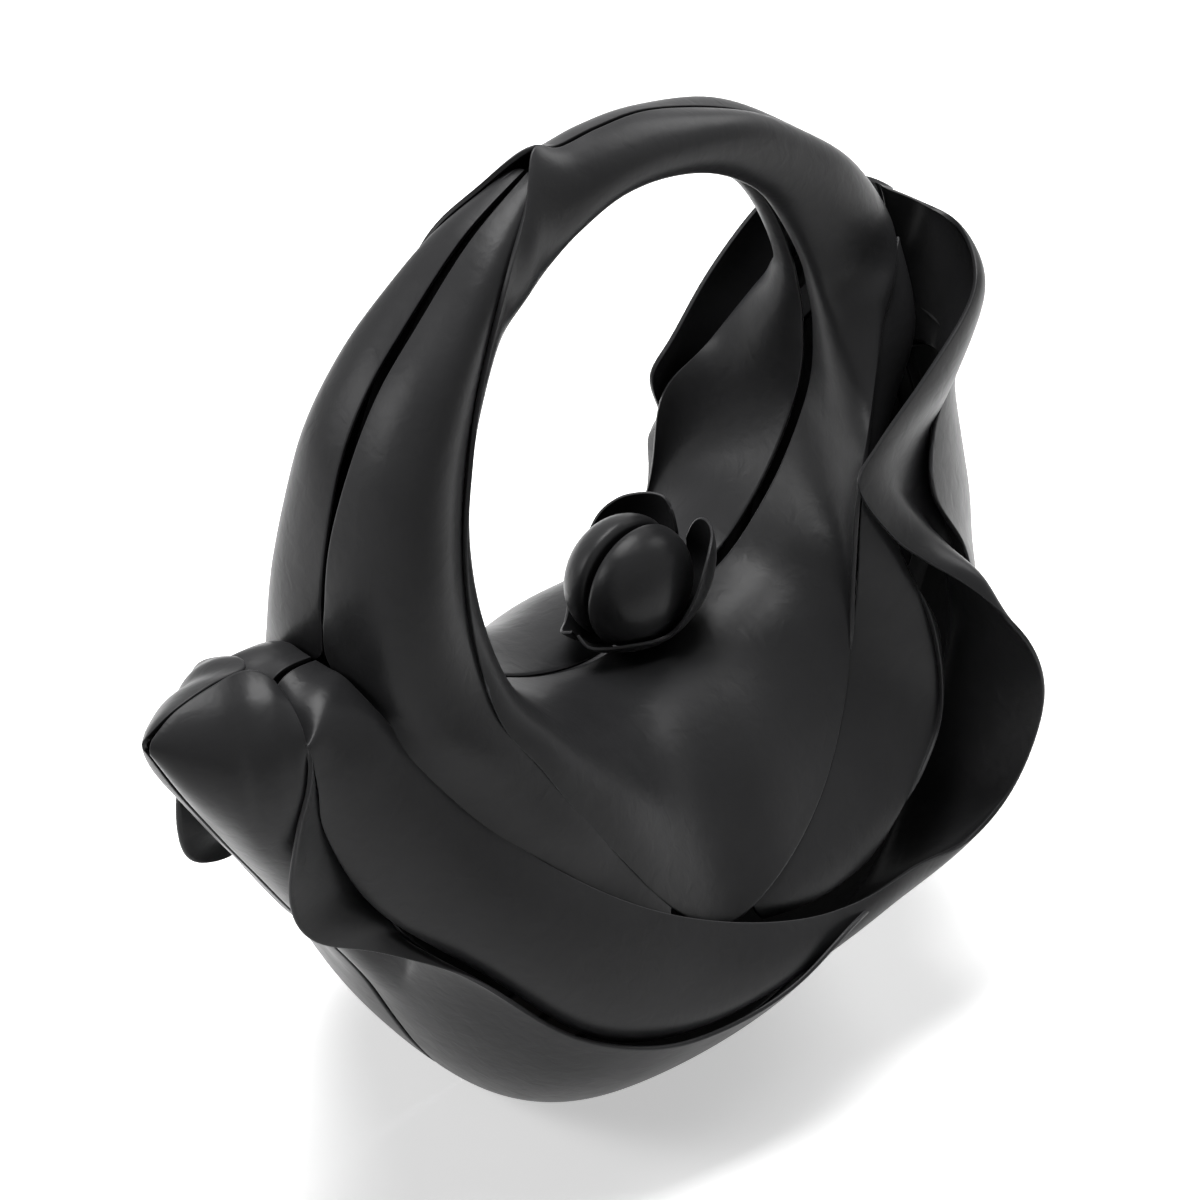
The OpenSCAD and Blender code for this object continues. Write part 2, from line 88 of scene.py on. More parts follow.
# Leather: sizes of its patterns in millimetres, and the painted highlight on its turned edges
DYE_CLOUD = 25
RUBBED_PATCH = 9
CREASE = 6
CREASE_DEPTH = 0.4
# Painted highlight: the pale colour given to turned edges, for the thin lines of light they catch
EDGE_HIGHLIGHT = "#4c4c4e"
EDGE_HIGHLIGHT_CURVE = (0.53, 0.62)  # pointiness at which the painted edge highlight starts and is full

# Each lamp: name, place and size in metres, and power in watts
LAMPS = [
    ("overhead_softbox", (0.1, 0.4, 1.9), 1.2, 62),
    ("right_softbox", (1.3, -0.1, 1.2), 0.9, 12),
    ("left_softbox", (-1.3, 0.9, 1.0), 0.7, 12),
]
LAMP_AIM = (0, 0, 0.15)
WORLD_LIGHT = 0.02
FLOOR_GLOW = 0.5  # what the floor adds for the camera, so that it comes out white
FLOOR_SIZE = 6000  # from the middle of the floor to its edge, in millimetres

# Camera: the drawn point it looks at, its direction from there in degrees, and its distance
CAMERA_AIM = (27, 0, 162)
CAMERA_TURN = -45
CAMERA_RISE = 35
CAMERA_DISTANCE = 1.6

# ---- Ribs of the petals, as the parts' own source has them: each is a curve across a petal
# with four control points. The right half is drawn, and the left one mirrors it.

# Hull: from the keel up to its rim, beak first
HULL = [
    [[-161, -1, 200], [-162, -2, 201], [-162, -2, 204], [-160, -1, 205]],
    [[-150, -1.6, 179], [-155, -12, 184], [-159, -12, 204], [-150, -0.4, 210]],
    [[-137, -1.6, 157], [-142, -25, 166], [-152, -24, 206], [-134, -0.4, 212]],
    [[-129, -1.6, 144], [-135, -27, 153], [-147, -29, 208], [-122, -0.4, 211]],
    [[-122, -1.6, 133], [-127, -28, 141], [-140, -34, 207], [-118, -9, 209]],
    [[-112, -1.6, 117], [-118, -28, 123], [-129, -29, 192], [-121, -24, 200]],
    [[-104, -1.6, 105], [-109, -27, 104], [-112, -20, 182], [-123, -27, 184]],
    [[-97, -1.6, 96], [-101, -26, 93], [-98, -18, 158], [-128, -26, 166]],
    [[-91, -1.6, 87], [-94, -27, 82], [-78, -22, 133], [-131, -25, 142]],
    [[-84, -1.6, 76], [-87, -30, 70], [-75, -37, 130], [-124, -27, 124]],
    [[-77, -1.6, 64], [-79, -32, 60], [-88, -40, 124], [-102, -34, 111]],
    [[-68, -1.6, 46], [-69, -40, 42], [-77, -56, 98], [-84, -54, 101]],
    [[-57, -1.6, 26], [-56, -46, 22], [-54, -70, 58], [-59, -72, 74]],
    [[-44, -1, 9], [-40, -46, 4], [-34, -74, 42], [-33, -85, 61]],
    [[-25, 0, 0], [-20, -48, -6], [-8, -76, 38], [-6, -91, 57]],
    [[0, 0, 0], [4, -48, -6], [18, -80, 38], [22, -95, 61]],
    [[30, 0, 0], [34, -46, -5], [48, -80, 44], [51, -94, 70]],
    [[60, 0, 0], [66, -42, 2], [80, -70, 42], [80, -80.5, 56]],
    [[90, 0, 10], [98, -38, 22], [107, -62, 42], [104, -72, 51]],
    [[118, 0, 26], [128, -34, 42], [137, -54, 62], [130, -65, 76]],
    [[145, 0, 50], [154, -30, 70], [155, -50, 96], [145, -57, 117]],
    [[168, 0, 82], [176, -30, 100], [161, -50, 128], [144, -54, 150]],
    [[184, 0, 118], [189, -26, 131], [158, -46, 156], [132, -49, 176]],
    [[184, 0, 148], [183, -22, 160], [160, -40, 180], [137, -43, 194]],
    [[177, 0, 176], [176, -20, 184], [161, -34, 198], [148, -38, 204]],
    [[168, 0, 198], [170, -16, 204], [168, -27, 210], [162, -30, 213]],
    [[163, 0, 212], [165, -6, 215], [165, -8, 219], [164, -6, 221]],
]

# Sheath: a loop of ribs round the hand hole, from its inner seam to its outer edge
SHEATH = [
    [[48, -0.8, 311], [49, -18, 310], [50, -18, 332], [49, -0.8, 333]],
    [[27, -0.8, 313], [27, -18, 312], [26, -18, 334], [26, -0.8, 336]],
    [[9, -0.8, 308], [10, -18, 306], [8, -17, 334], [9, -0.8, 336]],
    [[-1, -0.8, 302], [-2, -17, 299], [-7, -17, 330], [-2, -0.8, 340]],
    [[-12, -0.8, 294], [-15, -14, 292], [-20, -22, 313], [-14, -10, 328]],
    [[-23, -0.8, 283], [-26, -12, 283], [-32, -20, 298], [-29, -18, 313]],
    [[-33, -0.8, 264], [-35, -11, 265], [-41, -20, 274], [-44, -22, 284]],
    [[-40, -0.8, 243], [-42, -11, 244], [-47, -20, 254], [-53, -26, 256]],
    [[-43, -0.8, 221], [-44, -12, 220], [-50, -26, 230], [-59, -30, 232]],
    [[-42, -0.8, 198], [-43, -18, 198], [-50, -34, 208], [-61, -36, 204]],
    [[-37, -0.8, 175], [-38, -26, 177], [-48, -46, 190], [-60, -45, 181]],
    [[-26, -0.8, 160.5], [-26, -34, 164], [-38, -55, 174], [-51, -52, 164]],
    [[-12, -0.8, 152], [-11, -40, 156], [-26, -61, 156], [-42, -58, 146]],
    [[0, -0.8, 146.5], [2, -43, 153], [-14, -66, 138], [-29, -65, 124]],
    [[14, -0.8, 142], [15, -43, 154], [0, -66, 120], [-11, -72.5, 96.5]],
    [[27, -0.8, 140.5], [27, -43, 155], [14, -64, 113], [8, -76.5, 82.5]],
    [[45, -0.8, 142.5], [46, -44, 153.5], [38, -64, 115], [34, -76.3, 91]],
    [[65, -2, 147], [66, -42, 153], [65, -57, 118], [64, -66, 103]],
    [[85, -2, 154], [86, -36, 156], [90, -46, 138], [88.5, -52.5, 124]],
    [[103, -2, 170], [102, -30, 168], [102, -42, 160], [96, -45.5, 153.5]],
    [[115, -2, 188], [112, -22, 186], [107, -38, 186], [99.5, -43.5, 187]],
    [[122, -2, 206], [114, -17, 204], [113, -31, 205], [113, -36, 205]],
    [[122, -2, 226], [112, -16, 222], [120, -30, 224], [129, -26, 228]],
    [[119, -2, 240], [110, -18, 236], [136, -30, 238], [148, -14, 242]],
    [[115, -2, 253], [106, -19, 248], [154, -22, 254], [156, -0.8, 252]],
    [[105, -0.8, 273], [97, -18, 268], [134, -20, 288], [139, -0.8, 278]],
    [[92, -0.8, 290], [86, -18, 284], [114, -18, 308], [116, -0.8, 298]],
    [[71, -0.8, 304], [69, -18, 299], [84, -18, 328], [86, -0.8, 318]],
]

# Band: place of its foot on the hull (rib, height and depth), two control points and the rim
BAND_RIBS = [
    [[6.2, 0.06, 4.5], [-120, -1.2, 200], [-119, -1.2, 206], [-95, -1.2, 201]],
    [[5.6, 0.7, 4.5], [-119, -12, 196], [-116, -8, 205], [-94, -6, 200]],
    [[5.3, 0.97, 2.2], [-113, -24, 197], [-106, -18, 203], [-94, -13, 200]],
    [[6.1, 0.9, 2.2], [-112, -29, 179], [-100, -32, 192], [-92, -24, 193]],
    [[7, 0.84, 2.5], [-107, -35, 156], [-93, -42, 172], [-84, -32, 177]],
    [[8.8, 0.8, 3.5], [-95, -47, 130], [-82, -53, 150], [-72, -44, 154]],
    [[11, 0.86, 4.5], [-75, -66, 102], [-62, -68, 122], [-52, -60, 130]],
    [[12.3, 0.94, 4.5], [-50, -80, 82], [-36, -80, 98], [-27, -72, 108]],
    [[13.5, 0.95, 4.5], [-18, -90, 66], [-6, -87, 80], [2, -80, 90]],
    [[14.7, 0.94, 4.5], [14, -94, 60], [26, -93, 70], [33, -86, 77]],
    [[15.6, 0.88, 4.5], [41, -90, 56], [53, -94, 64], [60, -88, 71]],
    [[16.6, 0.76, 4.5], [63, -77, 48], [78, -92, 58.5], [84.8, -90, 72.3]],
    [[17.4, 0.72, 4.5], [90, -66, 46.5], [105, -87.5, 60], [110, -91, 70]],
    [[18.1, 0.7, 4.5], [108, -56, 58], [123, -75, 69], [133.2, -90, 81.2]],
    [[18.7, 0.72, 4.5], [121, -49, 80], [136, -74, 94], [143.2, -91, 109.8]],
    [[19.4, 0.76, 4.5], [130, -47, 104], [144, -76, 121], [138.4, -87, 133.7]],
    [[20.1, 0.82, 4.5], [137, -47, 128], [140, -79, 160], [127, -73, 151.5]],
    [[20.8, 0.86, 4.5], [133, -44, 148], [140, -59, 166], [116, -60, 163.4]],
    [[21.5, 0.88, 4.5], [128, -42, 163], [131, -52, 176], [107.3, -53, 173.6]],
    [[22.1, 0.88, 4.5], [122, -42, 184], [112, -50, 196], [96.8, -47, 194.7]],
    [[22.8, 0.9, 4.5], [132, -42, 198], [121, -49, 206], [106.7, -46.5, 206]],
    [[23.4, 0.86, 4.5], [147, -42, 208], [141, -50, 219], [125.5, -48, 222.6]],
    [[24, 0.8, 4.5], [158, -36, 216], [161, -47, 235.5], [147.3, -46.5, 239.4]],
    [[24.5, 0.74, 4.5], [165, -29, 226], [170, -40, 244], [158.5, -39, 248.5]],
    [[25, 0.5, 4.5], [166, -17, 231], [173, -24.5, 250], [169.5, -21, 251.7]],
    [[25.3, 0.2, 4.5], [163, -7, 231], [169.5, -7, 248.5], [168.6, -6, 253.4]],
    [[25.5, 0.02, 4.5], [159, 0, 230], [161, 0, 252], [154, 0, 263.5]],
]

# Stem lobe: its upper ribs start at the front slot, and its lower ones on the band
LOBE_UPPER = [
    [[-4, -0.8, 333], [-4, -2.2, 333], [-5, -3.6, 333.4], 3.5],
    [[-29, -1.6, 320], [-29, -9, 320.5], [-28.5, -15.5, 319], 4.8],
    [[-52, -2, 300], [-53, -15, 302], [-48, -25, 300], 5.6],
    [[-68, -2, 284], [-69, -19, 286], [-60, -31, 284], 6.2],
    [[-80, -2, 264], [-81, -23, 266], [-71, -36, 262], 6.9],
    [[-88, -0.8, 240], [-87, -26, 242], [-76, -41, 238], 7.8],
    [[-91, -0.8, 218], [-93, -26, 218], [-82, -44, 212], 8.8],
    [[-91, -0.8, 199], [-95, -24, 199], [-84, -47, 190], 9.7],
]
LOBE_LOWER = [
    [3.4, [-83, -34, 182], [-76, -52, 177], 10.6],
    [4.8, [-68, -47, 163], [-60, -57, 157], 11.6],
    [5.7, [-53, -56, 142], [-46, -64, 137], 12.6],
    [6.5, [-36, -63, 122], [-30, -68, 118], 13.3],
    [7.1, [-24, -69, 108], [-18, -71, 106], 13.8],
    [7.5, [-14.5, -71, 100.5], [-11.3, -71.5, 99.5], 14.1],
]

# Back leaf: place on the sheath's edge, two control points and the free edge
LEAF_RIBS = [
    [15.4, [20, -76.5, 81.5], [22, -77, 78.5], [24, -77, 76.5]],
    [16, [36, -79, 85], [42, -81, 79.5], [46, -81, 75]],
    [16.8, [63.2, -76.2, 91.2], [70.4, -79.8, 80], [75.3, -79, 77]],
    [17.4, [87, -69.8, 101.6], [100.5, -74.3, 89], [100.5, -74, 92.5]],
    [18, [104.6, -63.3, 116.7], [122.6, -66, 101.4], [118.3, -66.5, 106.9]],
    [18.8, [111.1, -59.4, 139.9], [128.2, -62.1, 127.3], [118.6, -60.5, 137.5]],
    [19.6, [108.5, -52.5, 165.9], [119.3, -52.5, 156.9], [116, -48, 160]],
    [20.4, [112, -42, 186], [119, -38, 182], [118, -34, 184]],
    [21.2, [122, -35, 206], [130, -33, 202], [132, -29, 203]],
    [22.1, [138, -27, 226], [147, -26, 222], [150, -22, 223]],
    [22.7, [149, -12, 244], [153, -11, 246], [155, -9, 247]],
]

# Calyx: direction round the bud from the front, elevation of the rim, and how far it turns out
SEPALS = [
    [4, -20, 3], [16, -24, 4.5], [30, -29, 2.2], [44, -30, 1], [58, -29, 0.8], [74, -30, 0.8],
    [86, -26, 1.4], [94, -12, 2.6], [102, 5, 4.2], [112, 20, 6.2], [126, 28, 7.8], [140, 30, 8.6],
    [152, 31, 8.6], [161, 31, 7.4], [168, 26, 4.8], [174, 14, 2.2],
]
CALYX_FOOT = -66  # elevation of the foot of the calyx


# ---- Surfaces, right half, in millimetres from the origin

def put(p):
    """A drawn point, measured from the middle of the bag's length."""
    return Vector((p[0] - MID_X, p[1], p[2]))


def held(p):
    """A point stays on its own side of the seam and above the sole."""
    return Vector((p[0], min(p[1], -HALF_GAP), max(p[2], SOLE_TOP)))


def glide(a, b, c, d, t):
    """Smooth curve through b and c, at t from 0 to 1."""
    return 0.5 * (2 * b + (c - a) * t + (2 * a - 5 * b + 4 * c - d) * t * t
                  + (3 * b - a - 3 * c + d) * t ** 3)


def along_rib(rib, v):
    """Bezier curve through a rib's four control points, at v from 0 to 1."""
    w = 1 - v
    return rib[0] * w ** 3 + rib[1] * 3 * v * w * w + rib[2] * 3 * v * v * w + rib[3] * v ** 3


class Petal:
    """A surface through its ribs. u counts the ribs, and v runs from 0 to 1 across it."""

    def __init__(self, ribs, closed=False, side=1):
        self.ribs = ribs
        self.closed = closed
        self.side = side
        self.last = len(ribs) if closed else len(ribs) - 1

    def rib(self, i):
        """Rib i, or the nearest one where an open petal has ended."""
        count = len(self.ribs)
        return self.ribs[i % count if self.closed else max(0, min(count - 1, i))]

    def at(self, u, v):
        """A point of the outer face."""
        i = math.floor(u)
        near = [self.rib(i + k) for k in (-1, 0, 1, 2)]
        return held(along_rib([glide(*(r[k] for r in near), u - i) for k in range(4)], v))

    def outward(self, u, v):
        """The direction that the outer face looks in, from four points close by."""
        e = 0.04
        u0, u1 = (u - e, u + e) if self.closed else (max(0, u - e), min(self.last, u + e))
        v0, v1 = max(0, v - e), min(1, v + e)
        along_u = self.at(u1, v) - self.at(u0, v)
        along_v = self.at(u, v1) - self.at(u, v0)
        return self.side * along_u.cross(along_v).normalized()

    def under(self, u, v, depth):
        """A point that lies the given depth under the outer face."""
        return held(self.at(u, v) - depth * self.outward(u, v))


def under_sheath(u):
    """Where a petal starts under the edge of the sheath."""
    return sheath.under(u, TUCK, UNDER_SHELL)


hull = Petal([[put(p) for p in rib] for rib in HULL])
sheath = Petal([[put(p) for p in rib] for rib in SHEATH], closed=True, side=-1)
band = Petal([[hull.under(*foot), put(p), put(q), put(rim)]
              for foot, p, q, rim in BAND_RIBS])
lobe = Petal([[put(p), put(q), put(r), under_sheath(u)] for p, q, r, u in LOBE_UPPER]
             + [[band.under(u, TUCK, UNDER_LINING), put(p), put(q), under_sheath(w)]
                for u, p, q, w in LOBE_LOWER])
leaf = Petal([[under_sheath(u), put(p), put(q), put(rim)] for u, p, q, rim in LEAF_RIBS], side=-1)

# The bud's middle and radii, from its CAD box
bud_low, bud_high = (Vector(corner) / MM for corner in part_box("bud_right"))
BUD_R = (bud_high.x - bud_low.x) / 2
BUD_DEPTH = -bud_low.y
BUD_AT = Vector(((bud_low.x + bud_high.x) / 2, 0, bud_high.z - BUD_R))


def sepal_rib(direction, rim, turn):
    """A rib of the calyx: up the bud from its foot to the rim, in one direction round it."""
    a, low, tip = (math.radians(t) for t in (direction, CALYX_FOOT, rim))
    k = 4 / 3 * math.tan((tip - low) / 4)

    def on(e):
        """A point of the unit ball at elevation e."""
        return Vector((-math.cos(e) * math.cos(a), -math.cos(e) * math.sin(a), math.sin(e)))

    def up(e):
        """The way up along the unit ball there."""
        return Vector((math.sin(e) * math.cos(a), math.sin(e) * math.sin(a), math.cos(e)))

    points = (on(low), on(low) + k * up(low), (on(tip) - k * up(tip)) * (1 + 0.6 * turn / BUD_R),
              on(tip) * (1 + turn / BUD_R))
    grow = LAYER_GAP + CALYX
    radii = Vector((BUD_R + grow, BUD_DEPTH + grow, BUD_R + grow))
    return [BUD_AT + p * radii for p in points]


calyx = Petal([sepal_rib(*sepal) for sepal in SEPALS], side=-1)


# ---- Shared helpers

def linear(hex_colour):
    """An sRGB hex colour as linear RGBA."""
    parts = [int(hex_colour[i:i + 2], 16) / 255 for i in (1, 3, 5)]
    return [c / 12.92 if c <= 0.04045 else ((c + 0.055) / 1.055) ** 2.4 for c in parts] + [1]


def add_node(tree, kind, settings=None, links=None):
    """Adds a node. Settings are properties or input values, and links feed its inputs."""
    node = tree.nodes.new(kind)
    for key, value in (settings or {}).items():
        if key in node.inputs:
            node.inputs[key].default_value = value
        else:
            setattr(node, key, value)
    for key, source in (links or {}).items():
        tree.links.new(source, node.inputs[key])
    return node


def new_material(name):
    """A material with an empty node tree."""
    made = bpy.data.materials.new(name)
    made.use_nodes = True
    made.node_tree.nodes.clear()
    return made, made.node_tree


def finish_material(tree, shader):
    """Joins the shader to the material's output."""
    output = add_node(tree, "ShaderNodeOutputMaterial")
    tree.links.new(shader.outputs[0], output.inputs["Surface"])


def per_metre(size):
    """Scale of a pattern whose size is given in millimetres."""
    return 1000 / size


def backdrop_rays(tree):
    """1 for the rays that show the backdrop: the camera's, and those of gloss and glass."""
    rays = add_node(tree, "ShaderNodeLightPath")
    seen = add_node(tree, "ShaderNodeMath", {"operation": "MAXIMUM"},
                    {0: rays.outputs["Is Camera Ray"], 1: rays.outputs["Is Glossy Ray"]})
    seen = add_node(tree, "ShaderNodeMath", {"operation": "MAXIMUM"},
                    {0: seen.outputs[0], 1: rays.outputs["Is Transmission Ray"]})
    return seen.outputs[0]


def two_colours(tree, noise, first, second):
    """Mixes two linear colours by a noise."""
    mix = add_node(tree, "ShaderNodeMix", {"data_type": "RGBA"}, {"Factor": noise.outputs["Fac"]})
    mix.inputs[6].default_value = first
    mix.inputs[7].default_value = second
    return mix


def leather(name, base, worn, roughness, grain, grain_depth):
    """Vegetable-tanned cowhide, wet-moulded and dyed through. Grain is its pore spacing in mm."""
    if name in bpy.data.materials:
        return bpy.data.materials[name]
    made, tree = new_material(name)
    place = add_node(tree, "ShaderNodeTexCoord").outputs["Object"]
    # Cloudy dye, which pools in wide patches
    cloud = add_node(tree, "ShaderNodeTexNoise",
                     {"Scale": per_metre(DYE_CLOUD), "Detail": 3, "Roughness": 0.5},
                     {"Vector": place})
    colour = two_colours(tree, cloud, linear(base), linear(worn))
    # Painted highlight: turned edges are painted paler, standing in for the thin lines of light
    # they catch
    curve = add_node(tree, "ShaderNodeNewGeometry").outputs["Pointiness"]
    edge = add_node(tree, "ShaderNodeMapRange",
                    {"From Min": EDGE_HIGHLIGHT_CURVE[0], "From Max": EDGE_HIGHLIGHT_CURVE[1]}, {"Value": curve})
    colour = add_node(tree, "ShaderNodeMix", {"data_type": "RGBA"},
                      {"Factor": edge.outputs["Result"], 6: colour.outputs[2]})
    colour.inputs[7].default_value = linear(EDGE_HIGHLIGHT)
    # The satin wax is rubbed unevenly, so the gloss varies from patch to patch
    rub = add_node(tree, "ShaderNodeTexNoise",
                   {"Scale": per_metre(RUBBED_PATCH), "Detail": 4, "Roughness": 0.6},
                   {"Vector": place})
    sheen = add_node(tree, "ShaderNodeMapRange",
                     {"To Min": roughness - 0.05, "To Max": roughness + 0.07},
                     {"Value": rub.outputs["Fac"]})
    # Moulding leaves shallow creases, and the hide keeps its pores
    crease = add_node(tree, "ShaderNodeTexNoise",
                      {"Scale": per_metre(CREASE), "Detail": 2, "Roughness": 0.45,
                       "Distortion": 0.6},
                      {"Vector": place})
    pores = add_node(tree, "ShaderNodeTexVoronoi",
                     {"feature": "SMOOTH_F1", "Scale": per_metre(grain)}, {"Vector": place})
    creased = add_node(tree, "ShaderNodeBump", {"Strength": 0.4, "Distance": CREASE_DEPTH * MM},
                       {"Height": crease.outputs["Fac"]})
    grained = add_node(tree, "ShaderNodeBump", {"Strength": 0.35, "Distance": grain_depth * MM},
                       {"Height": pores.outputs["Distance"], "Normal": creased.outputs["Normal"]})
    shader = add_node(tree, "ShaderNodeBsdfPrincipled", {"IOR": 1.45, "Specular IOR Level": 0.16},
                      {"Base Color": colour.outputs[2], "Roughness": sheen.outputs["Result"],
                       "Normal": grained.outputs["Normal"]})
    finish_material(tree, shader)
    return made


def plain(name, base, roughness, speck, metallic=0.0):
    """Hidden materials: a colour broken up by a fine speck of the given size in mm."""
    if name in bpy.data.materials:
        return bpy.data.materials[name]
    made, tree = new_material(name)
    place = add_node(tree, "ShaderNodeTexCoord").outputs["Object"]
    noise = add_node(tree, "ShaderNodeTexNoise", {"Scale": per_metre(speck), "Detail": 3},
                     {"Vector": place})
    rgb = linear(base)[:3]
    shades = two_colours(tree, noise, [c * 0.75 for c in rgb] + [1],
                         [min(1, c * 1.2) for c in rgb] + [1])
    bump = add_node(tree, "ShaderNodeBump", {"Strength": 0.3, "Distance": 0.0001},
                    {"Height": noise.outputs["Fac"]})
    shader = add_node(tree, "ShaderNodeBsdfPrincipled",
                      {"Roughness": roughness, "Metallic": metallic},
                      {"Base Color": shades.outputs[2], "Normal": bump.outputs["Normal"]})
    finish_material(tree, shader)
    return made


def shell_leather():
    """Waxed satin leather of the petals."""
    look = bpy.context.scene.bag_looks
    return leather("satin_moulded_leather", look.shell, look.worn, look.shell_roughness, look.grain,
                   0.03)


def lining_leather():
    """Thin matt leather inside the hull."""
    look = bpy.context.scene.bag_looks
    return leather("matt_lining_leather", look.lining, look.lining, 0.62, 0.7, 0.05)


def sole_leather():
    """Coarser matt leather of the soles and the hinge strip."""
    look = bpy.context.scene.bag_looks
    return leather("sole_leather", look.shell, look.lining, 0.6, 1.2, 0.06)


def new_object(name, shape, material):
    """An object at the origin from a bmesh in millimetres, smoothly shaded."""
    bmesh.ops.scale(shape, vec=(MM, MM, MM), verts=shape.verts)
    mesh = bpy.data.meshes.new(name)
    shape.to_mesh(mesh)
    shape.free()
    mesh.shade_smooth()
    mesh.materials.append(material)
    made = bpy.data.objects.new(name, mesh)
    bpy.context.scene.collection.objects.link(made)
    return made


def to_left(shape):
    """Turns a right-hand shape into its mirror image, faces outwards."""
    bmesh.ops.transform(shape, matrix=Matrix.Diagonal((1, -1, 1, 1)), verts=shape.verts)
    bmesh.ops.reverse_faces(shape, faces=shape.faces)


def crisp(t, faces, margin):
    """Moves a line of a grid so that its first and last faces are narrow and its edges crisp."""
    line = round(t * faces)
    return t if line in (0, faces) else margin + (1 - 2 * margin) * (line - 1) / (faces - 2)


def lay(petal, rows, cols, u0=0, u1=None, v0=0, v1=1, depth=0):
    """A grid of faces laid on a petal, from rib u0 to u1 and from v0 to v1 across."""
    u1 = petal.last if u1 is None else u1
    shape = bmesh.new()
    bmesh.ops.create_grid(shape, x_segments=cols, y_segments=rows, size=1)
    for vert in shape.verts:
        across_rib = crisp((vert.co.x + 1) / 2, cols, SIDE_MARGIN)
        along = (vert.co.y + 1) / 2
        if not petal.closed:
            along = min(crisp(along, rows, END_MARGIN), LAST_ROW)
        u = u0 + (u1 - u0) * along
        v = v0 + (v1 - v0) * across_rib
        vert.co = petal.under(u, v, depth) if depth else petal.at(u, v)
    if petal.closed:
        bmesh.ops.remove_doubles(shape, verts=shape.verts, dist=0.001)
    if petal.side > 0:
        bmesh.ops.reverse_faces(shape, faces=shape.faces)
    return shape


def leather_piece(name, make, thickness, material):
    for side in BODIES:
        shape = make()
        if side == "left":
            to_left(shape)
        piece = new_object(f"{name}_{side}_leather", shape, material)
        wall = piece.modifiers.new("thickness", "SOLIDIFY")
        wall.thickness = thickness * MM
        wall.offset = -1
        wall.use_even_offset = False
        wall.use_rim = True
        smooth = piece.modifiers.new("smooth", "SUBSURF")
        smooth.levels = smooth.render_levels = 1
        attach(piece, BODIES[side])
        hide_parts(f"{name}_{side}")


def dress(node, material):
    """Gives a CAD node its finish."""
    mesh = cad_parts[node].data
    mesh.materials.clear()
    mesh.materials.append(material)


# ---- Settings

class HandbagLooks(bpy.types.PropertyGroup):
    """Colours and finishes of the handbag."""

    shell: StringProperty(
        name="Shell", description="Colour of the dyed shell leather", default="#1c1c1d")
    worn: StringProperty(
        name="Rubbed shell", description="Colour where the dye is rubbed", default="#262627")
    lining: StringProperty(
        name="Lining", description="Colour of the lining leather", default="#121213")
    foam: StringProperty(
        name="Foam", description="Colour of the handle's foam core", default="#161617")
    board: StringProperty(name="Board", description="Colour of the fibre boards", default="#2c2722")
    floor: StringProperty(name="Floor", description="Colour of the floor", default="#f2f2f2")
    shell_roughness: FloatProperty(
        name="Roughness", description="Roughness of the waxed shell leather",
        default=0.34, min=0.2, max=0.8)
    grain: FloatProperty(
        name="Grain", description="Spacing of the leather's pores, in millimetres",
        default=0.9, min=0.4, max=2)


class HandbagSizes(bpy.types.PropertyGroup):
    """How finely the leather is laid."""

    steps: IntProperty(
        name="Steps", description="Faces from one rib to the next", default=5, min=2, max=8)
    across: IntProperty(
        name="Across", description="Faces across a petal", default=28, min=8, max=48)


# ---- Pieces

class BAG_OT_hull(bpy.types.Operator):
    """Moulded outer hull of each half, with its beak and its flanged rim"""

    bl_idname = "bag.hull"
    bl_label = "Hull"

    def execute(self, context):
        size = context.scene.bag_sizes
        leather_piece("hull", lambda: lay(hull, size.steps * hull.last, size.across),
                      SHELL, shell_leather())
        return {"FINISHED"}


class BAG_OT_band(bpy.types.Operator):
    """Inner band that rises from the hull and flares into the rear lobes and the hood"""

    bl_idname = "bag.band"
    bl_label = "Band"

    def execute(self, context):
        size = context.scene.bag_sizes
        leather_piece("band", lambda: lay(band, size.steps * band.last, size.across),
                      SHELL, shell_leather())
        return {"FINISHED"}


class BAG_OT_leaf(bpy.types.Operator):
    """Back leaf between the sheath and the rear lobes"""

    bl_idname = "bag.leaf"
    bl_label = "Back leaf"

    def execute(self, context):
        size = context.scene.bag_sizes
        leather_piece("back_leaf", lambda: lay(leaf, size.steps * leaf.last, size.across // 2),
                      SHELL, shell_leather())
        return {"FINISHED"}


class BAG_OT_lobe(bpy.types.Operator):
    """Full lobe on the front stem, under the hood of the sheath"""

    bl_idname = "bag.lobe"
    bl_label = "Stem lobe"

    def execute(self, context):
        size = context.scene.bag_sizes
        leather_piece("stem_lobe", lambda: lay(lobe, size.steps * lobe.last, size.across),
                      SHELL, shell_leather())
        return {"FINISHED"}


class BAG_OT_sheath(bpy.types.Operator):
    """Sheath that forms the ring handle, the stems and the saddle"""

    bl_idname = "bag.sheath"
    bl_label = "Handle sheath"

    def execute(self, context):
        size = context.scene.bag_sizes
        leather_piece("handle_sheath", lambda: lay(sheath, size.steps * sheath.last, size.across),
                      SHELL, shell_leather())
        return {"FINISHED"}


class BAG_OT_lining(bpy.types.Operator):
    """Thin leather lining of the hull"""

    bl_idname = "bag.lining"
    bl_label = "Lining"

    def execute(self, context):
        leather_piece("hull_lining",
                      lambda: lay(hull, rows=60, cols=15, u0=5, u1=25, v0=0.125, v1=0.75,
                                  depth=UNDER_SHELL),
                      LINING, lining_leather())
        return {"FINISHED"}


